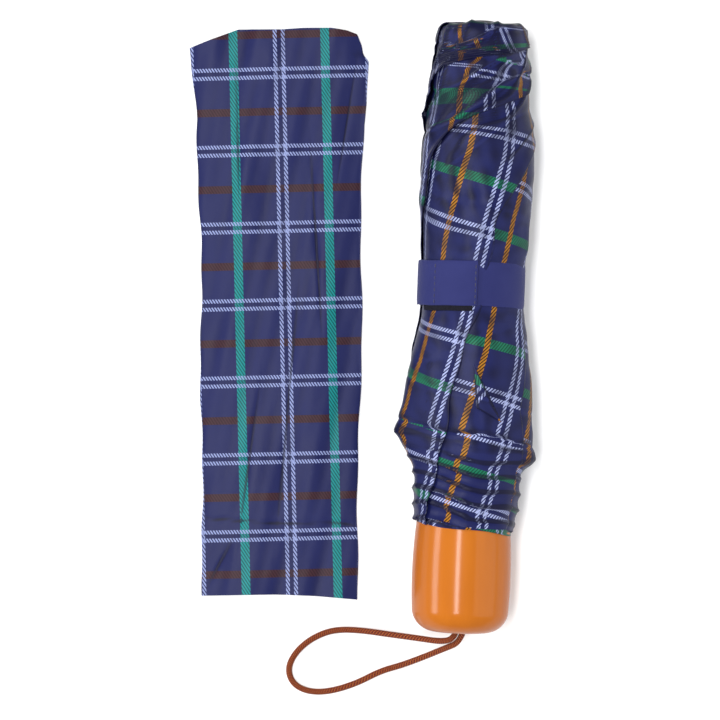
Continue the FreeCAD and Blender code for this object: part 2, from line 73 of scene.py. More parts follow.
class Surface:
    """A material put together by short calls."""

    def __init__(self, name, **sockets):
        self.material = bpy.data.materials.new(name)
        self.material.use_nodes = True
        self.tree = self.material.node_tree
        self.shader = self.tree.nodes["Principled BSDF"]
        for socket, value in sockets.items():
            self.shader.inputs[socket.replace("_", " ")].default_value = value

    def add(self, kind, settings=(), **sockets):
        node = self.tree.nodes.new("ShaderNode" + kind)
        for name, value in dict(settings).items():
            setattr(node, name, value)
        for socket, value in sockets.items():
            key = int(socket[1:]) if socket[1:].isdigit() else socket.replace("_", " ")
            self.put(node.inputs[key], value)
        return node

    def put(self, socket, value):
        if isinstance(value, bpy.types.NodeSocket):
            self.tree.links.new(value, socket)
        else:
            socket.default_value = value

    def math(self, operation, first, second=0.0, third=0.0):
        return self.add("Math", {"operation": operation}, i0=first, i1=second, i2=third).outputs[0]

    def mix(self, share, first, second, blend="MIX"):
        node = self.add("Mix", {"data_type": "RGBA", "blend_type": blend}, i0=share, i6=first, i7=second)
        return node.outputs[2]

    def noise(self, where, scale, detail=3.0, roughness=0.55):
        node = self.add("TexNoise", (), Vector=where, Scale=scale, Detail=detail, Roughness=roughness)
        return node.outputs["Fac"]

    def object_place(self):
        return self.add("TexCoord").outputs["Object"]

    def uv(self):
        return self.add("UVMap", {"uv_map": "cloth"}).outputs["UV"]

    def axes(self, where):
        return self.add("SeparateXYZ", (), Vector=where).outputs

    def bump(self, height, depth, strength=1.0, below=None):
        node = self.add("Bump", (), Height=height, Distance=depth, Strength=strength)
        if below is not None:
            self.put(node.inputs["Normal"], below)
        self.put(self.shader.inputs["Normal"], node.outputs["Normal"])
        return node.outputs["Normal"]

    def colour(self, value):
        self.put(self.shader.inputs["Base Color"], value)

    def roughness(self, value):
        self.put(self.shader.inputs["Roughness"], value)


NAVY = (0.009, 0.012, 0.072, 1)
NAVY_DEEP = (0.003, 0.004, 0.034, 1)
NAVY_BRIGHT = (0.015, 0.020, 0.100, 1)
WHITE = (0.31, 0.35, 0.58, 1)
PALE = (0.215, 0.255, 0.47, 1)
GOLD = (0.33, 0.135, 0.012, 1)
GREEN = (0.008, 0.135, 0.072, 1)
TEAL = (0.006, 0.200, 0.205, 1)
BROWN = (0.038, 0.013, 0.020, 1)

LINE = 1.55 * MM  # width of a white line
PAIR = 3.2 * MM  # between the middles of a pair of white lines
TWILL = 1.18 * MM  # between the slanting strokes that break a line
TWILL_SLANT = 0.62
SHADE = (0.003, 0.003, 0.015, 1)  # cloth in a crease
HOLLOW_GAIN, HOLLOW_MOST = 60.0, 0.8  # how fast a crease reaches that shade, and how nearly
GRAZED_SHADE = (0.002, 0.002, 0.018, 1)  # painted shade on cloth seen edge on


def tartan(name, across, along, white):
    """Printed tartan. across and along are (period, colour, width, dimming) of the coloured line that stands
    midway between pairs of white lines. Every line is broken by the slanting strokes of the twill."""
    cloth = Surface(name, Roughness=0.42, Sheen_Weight=0.0, Specular_IOR_Level=0.11)
    u, v, _ = cloth.axes(cloth.uv())

    def near(axis, period, middle, half_width, apart=0.0):
        place = cloth.math("WRAP", axis, middle + period / 2, middle - period / 2)
        gap = cloth.math("ABSOLUTE", cloth.math("SUBTRACT", place, middle))
        if apart:
            gap = cloth.math("ABSOLUTE", cloth.math("SUBTRACT", gap, apart / 2))
        return cloth.math("LESS_THAN", gap, half_width)

    slant = cloth.math("MULTIPLY_ADD", v, TWILL_SLANT, u)
    stroke = cloth.math("FRACT", cloth.math("DIVIDE", slant, TWILL))
    on_warp = cloth.math("LESS_THAN", stroke, 0.56)
    on_weft = cloth.math("GREATER_THAN", stroke, 0.46)
    where = cloth.uv()
    cloud = cloth.noise(where, 22.0)
    shade = cloth.mix(cloud, NAVY_DEEP, NAVY_BRIGHT)
    shade = cloth.mix(0.45, shade, NAVY)
    for axis, strokes, (period, colour, width, dim) in ((v, on_weft, along), (u, on_warp, across)):
        dark = tuple(dim * c for c in colour[:3]) + (1,)
        line = near(axis, period, period / 2, width / 2)
        shade = cloth.mix(line, shade, dark)
        shade = cloth.mix(cloth.math("MULTIPLY", line, strokes), shade, colour)
    for axis, strokes, period in ((v, on_weft, along[0]), (u, on_warp, across[0])):
        line = near(axis, period, 0.0, LINE / 2, PAIR)
        band = near(axis, period, 0.0, PAIR / 2 + LINE / 2)
        shade = cloth.mix(cloth.math("MULTIPLY", band, 0.25), shade, NAVY_DEEP)
        shade = cloth.mix(cloth.math("MULTIPLY", line, strokes), shade, white)
    # creases and the hollows under the folds lie in shade
    hollow = cloth.math("SUBTRACT", 0.5, cloth.add("NewGeometry").outputs["Pointiness"])
    shaded = cloth.add("Clamp", (), i0=cloth.math("MULTIPLY", hollow, HOLLOW_GAIN), i2=HOLLOW_MOST).outputs[0]
    shade = cloth.mix(shaded, shade, SHADE)
    # painted shade: the cloth darkens where it turns edge on to the view
    facing = cloth.add("LayerWeight", (), Blend=0.30).outputs["Facing"]
    cloth.colour(cloth.mix(cloth.math("MULTIPLY", facing, 0.55), shade, GRAZED_SHADE))
    weave = cloth.add("TexWave", {"wave_type": "BANDS", "bands_direction": "DIAGONAL"},
                      Vector=where, Scale=900.0, Distortion=0.4)
    fine = cloth.noise(where, 160.0, 5.0, 0.6)
    first = cloth.bump(weave.outputs["Fac"], 0.00003, 0.5)
    cloth.bump(fine, 0.00022, 0.55, first)
    cloth.roughness(cloth.math("MULTIPLY_ADD", cloud, 0.22, 0.30))
    return cloth.material


def plain_ribbon():
    ribbon = Surface("navy_ribbon", Roughness=0.62, Sheen_Weight=0.03, Sheen_Roughness=0.45,
                     Specular_IOR_Level=0.11)
    where = ribbon.uv()
    u, v, _ = ribbon.axes(where)
    rib = ribbon.math("SINE", ribbon.math("MULTIPLY", u, TURN / (0.45 * MM)))
    thread = ribbon.math("SINE", ribbon.math("MULTIPLY", v, TURN / (0.55 * MM)))
    cloud = ribbon.noise(where, 60.0)
    ribbon.colour(ribbon.mix(cloud, (0.014, 0.017, 0.086, 1), (0.023, 0.027, 0.120, 1)))
    ribbon.bump(ribbon.math("MULTIPLY", rib, thread), 0.00006, 0.5)
    return ribbon.material


def lacquer():
    """Opaque honey lacquer on turned wood: a hint of long grain under a clear gloss, and painted shade
    towards its sides.
    """
    wood = Surface("honey_lacquer", Roughness=0.45, Coat_Weight=0.36, Coat_Roughness=0.16,
                   Specular_IOR_Level=0.06)
    where = wood.add("Mapping", (), Vector=wood.object_place(), Scale=(1.0, 0.10, 1.0)).outputs["Vector"]
    grain = wood.noise(where, 260.0, 4.0)
    cloud = wood.noise(wood.object_place(), 38.0, 2.0)
    base = wood.mix(grain, (0.39, 0.104, 0.003, 1), (0.48, 0.138, 0.005, 1))
    base = wood.mix(wood.math("MULTIPLY", cloud, 0.35), base, (0.34, 0.080, 0.003, 1))
    # painted shade: the grip darkens towards the sides that turn away from the view
    facing = wood.add("LayerWeight", (), Blend=0.35).outputs["Facing"]
    wood.colour(wood.mix(wood.math("MULTIPLY", facing, 0.75), base, (0.19, 0.036, 0.002, 1)))
    wood.bump(cloud, 0.0004, 0.12)
    return wood.material


def braid():
    """Rust-orange strands laid over each other both ways round the cord, with painted shade in the grooves
    between them.
    """
    cord = Surface("rust_braid", Roughness=0.6, Specular_IOR_Level=0.15)
    u, v, _ = cord.axes(cord.add("TexCoord").outputs["UV"])
    # the curve's own map runs 0 to 1 along the cord and 0 to 1 round it
    along = cord.math("MULTIPLY", u, 165.0)
    one = cord.math("FRACT", cord.math("MULTIPLY_ADD", v, 4.0, along))
    other = cord.math("FRACT", cord.math("MULTIPLY_ADD", v, -4.0, along))
    lobe_one = cord.math("PINGPONG", one, 0.5)
    lobe_other = cord.math("PINGPONG", other, 0.5)
    height = cord.math("MAXIMUM", lobe_one, lobe_other)
    check = cord.math("GREATER_THAN", lobe_one, lobe_other)
    shade = cord.mix(check, (0.21, 0.026, 0.009, 1), (0.15, 0.016, 0.008, 1))
    # painted shade: darker in the grooves between the strands
    shade = cord.mix(cord.math("MULTIPLY", height, 1.6), (0.035, 0.004, 0.003, 1), shade)
    # lighter on the crests of the strands that run one way
    crest_tint = cord.math("MULTIPLY", check, cord.math("GREATER_THAN", lobe_one, 0.43))
    cord.colour(cord.mix(crest_tint, shade, (0.48, 0.17, 0.030, 1)))
    cord.bump(height, 0.0004, 0.8)
    return cord.material


def steel():
    metal = Surface("bright_plate", Metallic=1.0, Roughness=0.24)
    place = metal.object_place()
    cloud = metal.noise(place, 90.0, 4.0)
    metal.colour(metal.mix(cloud, (0.56, 0.56, 0.58, 1), (0.76, 0.76, 0.78, 1)))
    metal.roughness(metal.math("MULTIPLY_ADD", cloud, 0.2, 0.14))
    metal.bump(cloud, 0.0001, 0.2)
    return metal.material


def nylon():
    plastic = Surface("black_nylon", Roughness=0.45)
    cloud = plastic.noise(plastic.object_place(), 700.0, 2.0)
    plastic.colour(plastic.mix(cloud, (0.012, 0.012, 0.014, 1), (0.028, 0.028, 0.032, 1)))
    plastic.bump(cloud, 0.00008, 0.4)
    return plastic.material


def thread():
    yarn = Surface("dark_thread", Roughness=0.7, Sheen_Weight=0.2)
    cloud = yarn.noise(yarn.object_place(), 2600.0, 2.0)
    yarn.colour(yarn.mix(cloud, (0.008, 0.008, 0.030, 1), (0.020, 0.020, 0.060, 1)))
    yarn.bump(cloud, 0.00005, 0.5)
    return yarn.material


def hooks():
    fuzz = Surface("dark_hooks", Roughness=0.9, Specular_IOR_Level=0.1)
    cloud = fuzz.noise(fuzz.object_place(), 1500.0, 4.0, 0.7)
    fuzz.colour(fuzz.mix(cloud, (0.003, 0.003, 0.007, 1), (0.016, 0.016, 0.024, 1)))
    fuzz.bump(cloud, 0.0006, 0.9)
    return fuzz.material


canopy_cloth = tartan("canopy_tartan", (30.0 * MM, GOLD, 2.3 * MM, 0.10),
                      (39.0 * MM, GREEN, 3.7 * MM, 0.40), WHITE)
cover_cloth = tartan("cover_tartan", (36.6 * MM, TEAL, 3.5 * MM, 0.35),
                     (30.7 * MM, BROWN, 3.1 * MM, 0.60), PALE)
ribbon_cloth = plain_ribbon()
grip_finish = lacquer()
cord_finish = braid()
steel_finish = steel()
nylon_finish = nylon()
thread_finish = thread()
hook_finish = hooks()


def finish_node(name, material):
    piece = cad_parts[name]
    piece.data.materials.clear()
    piece.data.materials.append(material)


for name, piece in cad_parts.items():
    metal = name.startswith(("rib_", "stretcher_")) or name.endswith(("_tube", "_wire"))
    finish_node(name, steel_finish if metal else nylon_finish)
finish_node("grip", grip_finish)


# ---- making pieces -------------------------------------------------------------------------------


def as_object(work, name, material, body):
    mesh = bpy.data.meshes.new(name)
    work.to_mesh(mesh)
    work.free()
    piece = bpy.data.objects.new(name, mesh)
    bpy.context.scene.collection.objects.link(piece)
    mesh.materials.append(material)
    for face in mesh.polygons:
        face.use_smooth = True
    if body:
        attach(piece, body)
    return piece


def grid_piece(name, columns, rows, shape, material, body):
    """A sheet: shape(a, b) takes arrays of grid places from 0 to 1 and returns points and cloth places."""
    work = bmesh.new()
    work.loops.layers.uv.new("cloth")
    bmesh.ops.create_grid(work, x_segments=columns, y_segments=rows, size=0.5, calc_uvs=False)
    piece = as_object(work, name, material, body)
    mesh = piece.data
    places = np.empty(len(mesh.vertices) * 3)
    mesh.vertices.foreach_get("co", places)
    places = places.reshape(-1, 3) + 0.5
    points, cloth = shape(places[:, 0], places[:, 1])
    mesh.vertices.foreach_set("co", points.astype(np.float32).ravel())
    corner = np.empty(len(mesh.loops), dtype=np.int32)
    mesh.loops.foreach_get("vertex_index", corner)
    mesh.uv_layers["cloth"].data.foreach_set("uv", cloth[corner].astype(np.float32).ravel())
    mesh.update()
    return piece


def weld(piece, gap):
    """Close a piece's seams and turn its faces outwards."""
    work = bmesh.new()
    work.from_mesh(piece.data)
    bmesh.ops.remove_doubles(work, verts=work.verts, dist=gap)
    bmesh.ops.recalc_face_normals(work, faces=work.faces)
    work.to_mesh(piece.data)
    work.free()


def ripples(seed, count, wave_low, wave_high):
    """A smooth random height over a plane, from a few crossing waves. Lengths are in the plane's units."""
    picker = np.random.default_rng(seed)
    heading = picker.uniform(0, math.pi, count)
    length = picker.uniform(wave_low, wave_high, count)
    phase = picker.uniform(0, TURN, count)

    def height(x, y):
        total = 0.0
        for turn, wave, start in zip(heading, length, phase):
            total = total + np.sin((x * math.cos(turn) + y * math.sin(turn)) * TURN / wave + start)
        return total / math.sqrt(count)

    return height


def smooth(x):
    x = np.clip(x, 0, 1)
    return x * x * (3 - 2 * x)


# ---- camera and light ----------------------------------------------------------------------------

VIEW_WIDTH = 0.2832  # seen at the height of the view's middle
LENS, SENSOR = 150.0, 36.0
VIEW_MIDDLE = Vector((0.00125, -0.0146, 0.018))
TILT = math.radians(2.16)
LAMP_AWAY = 1.5
LAMP_MIDDLE = Vector((0, -0.02, 0.02))
WORLD_STRENGTH = 0.62
FLOOR_HALF, FLOOR_DROP = 6.0, 0.2 * MM


def camera():
    data = bpy.data.cameras.new("camera")
    data.lens, data.sensor_width = LENS, SENSOR
    data.clip_start, data.clip_end = 0.01, 20
    eye = bpy.data.objects.new("camera", data)
    bpy.context.scene.collection.objects.link(eye)
    place = VIEW_MIDDLE + Vector((0, 0, VIEW_WIDTH * LENS / SENSOR))
    eye.matrix_world = Matrix.Translation(place) @ Matrix.Rotation(TILT, 4, "Z")
    bpy.context.scene.camera = eye


def softbox(name, lean, energy, width, length):
    """A long light above the set, leaning lean degrees to the side and facing the shaft."""
    data = bpy.data.lights.new(name, "AREA")
    data.shape = "RECTANGLE"
    data.size, data.size_y = width, length
    data.energy = energy
    lamp = bpy.data.objects.new(name, data)
    bpy.context.scene.collection.objects.link(lamp)
    turn = Matrix.Rotation(math.radians(lean), 4, "Y")
    lamp.matrix_world = Matrix.Translation(LAMP_MIDDLE) @ turn @ Matrix.Translation((0, 0, LAMP_AWAY))


def stage():
    floor_mesh = bpy.data.meshes.new("floor")
    work = bmesh.new()
    bmesh.ops.create_grid(work, x_segments=1, y_segments=1, size=FLOOR_HALF)
    work.to_mesh(floor_mesh)
    work.free()
    floor = bpy.data.objects.new("floor", floor_mesh)
    floor.location.z = -FLOOR_DROP
    bpy.context.scene.collection.objects.link(floor)
    pale = Surface("pale_floor", Roughness=0.9, Base_Color=(0.94, 0.94, 0.94, 1))
    floor_mesh.materials.append(pale.material)
    world = bpy.data.worlds.new("studio")
    world.use_nodes = True
    background = world.node_tree.nodes["Background"]
    background.inputs["Color"].default_value = (1, 1, 1, 1)
    background.inputs["Strength"].default_value = WORLD_STRENGTH
    bpy.context.scene.world = world
    softbox("left_softbox", -64, 15, 0.40, 1.1)
    softbox("top_softbox", -9, 17, 0.24, 0.9)
    softbox("right_softbox", 58, 9, 1.5, 1.3)
    bpy.context.scene.view_settings.view_transform = "Standard"
    bpy.context.scene.view_settings.look = "None"


camera()
stage()

# ---- wrist cord ----------------------------------------------------------------------------------

CORD_DIAMETER = 2.4 * MM
cord_route = [
    # millimetres: x from the shaft's axis, y, z, out of the grip's foot, down to the floor, round and back
    (-1.4, -120.0, 19.6), (-2.2, -122.9, 19.0), (-7.0, -124.2, 17.0), (-16.0, -123.6, 12.0),
    (-27.0, -123.1, 6.0), (-37.3, -122.3, 2.4), (-46.0, -122.2, 1.4), (-52.5, -123.5, 1.3),
    (-59.5, -127.3, 1.3), (-64.8, -132.8, 1.3), (-67.2, -139.0, 1.3), (-64.8, -144.8, 1.3),
    (-58.6, -147.6, 1.3), (-50.5, -147.3, 1.3), (-40.0, -143.8, 1.3), (-30.0, -138.2, 1.3),
    (-22.0, -135.6, 2.2), (-13.0, -131.4, 6.5), (-5.0, -127.0, 13.5), (0.2, -124.2, 17.8),
    (1.4, -120.0, 19.6),
]


def route_curve(name, points, diameter):
    data = bpy.data.curves.new(name, "CURVE")
    data.dimensions = "3D"
    data.resolution_u = 10
    spline = data.splines.new("NURBS")
    spline.points.add(len(points) - 1)
    for place, point in zip(spline.points, points):
        place.co = (*point, 1)
    spline.order_u = 3
    spline.use_endpoint_u = True
    data.bevel_depth = diameter / 2
    data.bevel_resolution = 5
    data.use_fill_caps = True
    return data


def wrist_cord():
    points = [Vector((x * MM + shaft.x, y * MM, z * MM)) for x, y, z in cord_route]
    data = route_curve("wrist_cord_braid", points, CORD_DIAMETER)
    piece = bpy.data.objects.new("wrist_cord_braid", data)
    bpy.context.scene.collection.objects.link(piece)
    data.materials.append(cord_finish)
    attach(piece, "grip")
    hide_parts("wrist_cord")


wrist_cord()

# ---- cover ---------------------------------------------------------------------------------------

# the bag's outline from mouth to foot: y, left edge and right edge, millimetres from the shaft's axis
COVER_SIDES = [(107.2, -116.3, -46.6), (104.5, -115.8, -44.6), (88, -113.1, -44.4), (79, -111.5, -45.1),
               (64, -110.5, -44.8), (35, -108.7, -44.2), (-5, -106.7, -43.0), (-60, -104.6, -41.8),
               (-110.4, -102.0, -40.7)]
# how far the mouth's edge rises above the first line, from left to right
COVER_MOUTH = [(0.0, 0.0), (0.12, 3.6), (0.28, 8.1), (0.40, 8.3), (0.52, 8.7), (0.66, 9.7), (0.81, 10.1),
               (0.90, 9.4), (0.96, 8.0), (0.985, 3.6), (1.0, -2.0)]
# creases down the bag: x at the middle, lean, y where it is deepest, reach along it and depth
COVER_CREASES = [(-62, -0.10, 30, 26, 0.65), (-71, 0.05, -35, 40, 0.35), (-95, -0.06, 70, 22, 0.35),
                 (-52, 0.12, 78, 20, 0.40), (-86, 0.10, -60, 30, 0.30), (-97, 0.5, -100, 9, 0.6)]
COVER_THICKNESS = 2.2
COVER_SEAM = -80.5
COVER_MOUTH_Y = 92.0
# how the print stands on the bag: it leans, and is shifted across and along
COVER_PRINT_LEAN = math.radians(3.53)
COVER_PRINT_SHIFT = (73.06, -11.16)


def cover():
    """A flat sewn bag: two plies joined at its sides, slack in the middle, with a wavy open mouth."""
    sides = np.array(COVER_SIDES)
    mouth = np.array(COVER_MOUTH)
    slack = ripples(4, 7, 26.0, 70.0)
    creases = ripples(9, 5, 9.0, 22.0)

    def shape(a, b):
        # b runs round the bag: the upper ply from left to right, then the lower ply back
        half = np.where(b < 0.5, 2 * b, 2 - 2 * b)
        across = 0.5 - 0.5 * np.cos(math.pi * np.clip(half, 0, 1))
        rise = np.interp(across, mouth[:, 0], mouth[:, 1])
        y0 = sides[-1, 0] + 1.1 * np.sin(across * 3.6 - 0.6)
        y = y0 + (sides[0, 0] + rise - y0) * a
        order = np.argsort(sides[:, 0])
        left = np.interp(y, sides[order, 0], sides[order, 1])
        right = np.interp(y, sides[order, 0], sides[order, 2])
        left = left + 0.5 * np.sin(y / 13.0) + 0.25 * np.sin(y / 4.1)
        right = right + 0.5 * np.sin(y / 17.0 + 2) + 0.25 * np.sin(y / 5.3)
        x = left + (right - left) * across
        crown = (4 * across * (1 - across)) ** 0.35
        open_end = smooth((y - COVER_MOUTH_Y) / 24)
        relief = 0.42 * slack(x * 1.9, y * 0.55) + 0.16 * creases(x * 1.6, y * 0.35)
        relief = relief + 0.5 * open_end * np.sin(x / 4.6 + 1.2)
        for at, tilt, deepest, extent, depth in COVER_CREASES:
            fade = np.exp(-(((y - deepest) / extent) ** 2))
            relief = relief - depth * fade * np.exp(-np.abs(x - at - tilt * (y - deepest)) / 0.9)
        seam = np.exp(-((y - COVER_SEAM + 0.3 * np.sin(x / 7)) / 0.5) ** 2)
        top = COVER_THICKNESS * (0.62 + 0.30 * open_end) * crown + relief * crown - 0.35 * seam
        top = np.maximum(top, 0.35)
        upper = b < 0.5
        z = np.where(upper, top + 0.25, 0.12)
        points = np.stack([x * MM + shaft.x, y * MM, z * MM], axis=1)
        # the print stands square to the bag, a little off its sides
        cosine, sine = math.cos(COVER_PRINT_LEAN), math.sin(COVER_PRINT_LEAN)
        u = x * cosine + y * sine + COVER_PRINT_SHIFT[0]
        v = y * cosine - x * sine + COVER_PRINT_SHIFT[1]
        cloth = np.stack([(u + np.where(upper, 0, 11)) * MM, v * MM], axis=1)
        return points, cloth

    piece = grid_piece("cover_bag", 190, 330, shape, cover_cloth, "cover")
    weld(piece, 0.01 * MM)
    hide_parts("cover_front", "cover_back")


cover()

# ---- folded canopy -------------------------------------------------------------------------------

# the bundle's outline: y and half width in millimetres, without the two hem tips that stand out at its sides
BUNDLE = [(120, 16.4), (115, 17.7), (104, 18.9), (95, 19.6), (83, 20.8), (66, 21.9), (58, 22.2), (45, 21.2),
          (32, 20.9), (25, 20.2), (8, 19.8), (1, 20.4), (-8, 21.7), (-20, 22.7), (-36, 23.0), (-46, 22.6),
          (-54, 21.3), (-59, 20.7), (-65, 21.1), (-72, 20.3), (-78, 19.6), (-84, 19.4)]
LEFT_TIP = [(4, 0.0), (-16, 1.5), (-32, 3.6), (-40, 5.7), (-42, 6.4), (-44, 4.4), (-50, 1.4), (-56, 0.0)]
RIGHT_TIP = [(0, 0.4), (-19, 1.2), (-36, 2.2), (-46, 4.2), (-51.5, 6.2), (-54, 3.0), (-57, 0.9), (-64, 0.0)]
CLOTH_TOP = 119.0  # y of the flat end
RIM_RADIUS = 3.0  # between the flat end and the side
NECK_RADIUS = 6.6  # the hole for the crown's cap
FRAME_RADIUS = 16.7  # the innermost cloth, over the ribs
GRIP_COLLAR = 18.9  # the same, over the grip
COLLAR_Y = -76.0  # where the cloth goes over the grip
CLOTH_HEIGHT = 20.3  # the most that the cloth rises over the axis, before its waves
FLOOR_GAP = 0.15  # between the cloth and the floor
HEM_DROP = 78.2  # from the axis's zero down to the hem
WRAP = 1.35 * TURN  # how far a pleat goes round under the others
NECK_RUN = 10.0  # along the cloth from the crown's hole to the rim
RIM_RUN = RIM_RADIUS * math.pi / 2
SIDE_TOP = CLOTH_TOP - RIM_RADIUS
BUNDLE_ROUND = 20.0  # radius that turns angles into millimetres round the bundle
PRINT_ROUND = 20.5  # the same for the print
TIE_MIDDLE, TIE_HALF, TIE_FADE = 16.5, 9.0, 3.0
# where each pleat's free edge stands down the shaft: y, then degrees to the right of the top
EDGES = [
    (-90, -50, 60, 85, 112, 140, 170, 205, 240),
    (-36, -22, 62, 84, 112, 142, 174, 208, 238),
    (8, 7, 72, 102, 134, 166, 198, 234, 267),
    (38, 23, 80, 118, 150, 182, 214, 250, 283),
    (54, 43, 100, 132, 160, 190, 220, 254, 294),
    (65, 66, 118, 146, 170, 198, 226, 257, 307),
    (74, 90, 135, 158, 180, 205, 231, 261, 328),
    (79, 115, 148, 168, 188, 211, 235, 265, 350),
    (92, 170, 190, 205, 220, 236, 254, 282, 445),
    (100, 188, 205, 220, 234, 247, 262, 310, 466),
    (107, 200, 218, 232, 245, 256, 272, 440, 480),
    (114, 206, 224, 238, 251, 263, 290, 462, 488),
    (140, 210, 228, 242, 256, 270, 310, 470, 492),
]
# the line that the print of the first pleat follows: y, then degrees to the right of the top
PRINT_LINE = [(-90, -72), (-36, -33), (-13, -16), (8, -4), (38, 12), (54, 24), (65, 32), (76, 36.5),
              (92, 36.5), (100, 32), (107, 24), (113, 20), (140, 20)]
# how far round each pleat's print is turned from the first one's, and how far it is shifted down
PRINT_TURN = [0, 73, 150, 150, 184, 225, 250, -86]
PRINT_SHIFT = [-7.3, 7.5, -14.0, 3.0, 16.0, -9.0, 6.0, 18.6]
PRINT_Y = 39.0


def steps_of(points):
    ordered = sorted(points)
    return np.array([p[0] for p in ordered], float), np.array([p[1] for p in ordered], float)


def eased(points, y, reach=1.6):
    """Points joined by a smooth line: linear steps averaged over a short stretch."""
    xs, ys = steps_of(points)
    total = 0.0
    for shift in (-1.0, -0.5, 0.0, 0.5, 1.0):
        total = total + np.interp(y + shift * reach, xs, ys)
    return total / 5


def followed(points, y, reach=3.0):
    """The angle at each y along a line of points given in degrees, softened over a reach, in radians."""
    xs, ys = steps_of(points)
    shifts = np.linspace(-1.5, 1.5, 13)
    weights = np.exp(-(shifts**2))
    total = sum(weight * np.interp(y + shift * reach, xs, ys) for weight, shift in zip(weights, shifts))
    return np.radians(total / weights.sum())


LINE_STEP = 0.25
line_y = np.arange(-100.0, 140.0, LINE_STEP)
line_angle = followed(PRINT_LINE, line_y)
line_slope = np.clip(PRINT_ROUND * np.gradient(line_angle, line_y), -0.6, 0.6)
line_run = np.cumsum(np.sqrt(1 + line_slope**2)) * LINE_STEP
line_run -= np.interp(PRINT_Y, line_y, line_run)
twist_angle = followed([(row[0], row[1]) for row in EDGES], line_y)

big_waves = ripples(21, 9, 14.0, 46.0)
small_waves = ripples(22, 9, 5.0, 13.0)
gather_warp = ripples(23, 6, 16.0, 40.0)
pleat_waves = ripples(24, 8, 8.0, 30.0)


# sharp valleys that run across the bundle: y on the axis, rise per millimetre to the right, depth and width
CREASES = [(99, 0.42, 0.75, 1.3), (87, 0.62, 0.7, 1.2), (105, -0.25, 0.6, 1.0), (112, 0.30, 0.55, 0.9),
           (71, 0.75, 0.35, 1.4), (16, 0, 0, 1.0), (-27, -0.30, 0.35, 1.0), (-42.5, -0.20, 0.85, 0.9),
           (48, -0.28, 0.22, 1.6), (30, 0.5, 0.18, 1.8), (-6, 0.45, 0.22, 1.5)]
# how far the print slips at each of them, across and along; the one without depth only slips
SLIPS = [(0, 5), (3, -7), (9, 12), (-7, 16), (0, 0), (0, -3), (0, 0), (3, 16), (0, 0), (0, 0), (0, 0)]


def held_by_tie(y):
    """1 under the strap, falling to 0 beside it."""
    return np.exp(-(np.clip(np.abs(y - TIE_MIDDLE) - TIE_HALF, 0, None) / TIE_FADE) ** 2)


def round_bundle(angle):
    """Where an angle stands round the bundle, across and up, in millimetres."""
    return BUNDLE_ROUND * np.sin(angle), BUNDLE_ROUND * np.cos(angle)


def gather_phase(angle, y):
    """Counts the small folds above the grip, one for each whole number."""
    arc, side = round_bundle(angle)
    return (y + 0.16 * arc + 1.2 * gather_warp(arc * 0.8, side * 0.8 + y * 0.5)) / 5.6


def print_slip(angle, y):
    """Cloth that lies hidden in the creases and gathers, across and along the print."""
    arc, side = round_bundle(angle)
    front = smooth((np.cos(angle) + 0.1) / 0.3)
    across, along = 0.0, 0.0
    for (at, slope, _, _), (slip_u, slip_v) in zip(CREASES, SLIPS):
        past = front * smooth((y - at - slope * arc + 0.8 * gather_warp(arc, side)) / 0.8 * np.sign(at) + 0.5)
        across, along = across + slip_u * past, along + slip_v * past
    gathered = smooth((-44 - y) / 3)
    count = gather_phase(angle, y) + 0.5
    whole = np.floor(count)
    steps = whole + smooth((count - whole) / 0.16)
    across = across + gathered * 1.1 * np.sin(2.3 * steps)
    along = along + gathered * 2.4 * (steps + 7)
    return across, along


def bundle_relief(angle, y):
    """Height that all layers share: soft waves, twisted folds at the crown and gathers above the grip."""
    arc, side = round_bundle(angle)
    height = 0.30 * big_waves(arc + 0.35 * side, y * 0.7 + side) + 0.12 * small_waves(arc, y + 0.6 * side)
    for at, slope, depth, wide in CREASES:
        height = height - depth * np.exp(-np.abs(y - at - slope * arc + 0.8 * gather_warp(arc, side)) / wide)
    twisted = smooth((y - 52) / 40)
    turn = angle + np.interp(y, line_y, -twist_angle)
    folds = 1 - np.abs(np.sin(turn * 4.0 + 0.8 * np.sin(turn * 3) + 0.5 * gather_warp(arc, y)))
    height = height + twisted * 0.9 * (folds ** 2 - 0.35)
    gathered = smooth((-46 - y) / 9)
    ridges = 1 - np.abs(np.sin(math.pi * gather_phase(angle, y)))
    height = height + gathered * (1.05 * ridges ** 1.7 - 0.35)
    return height * (1 - 0.8 * held_by_tie(y))


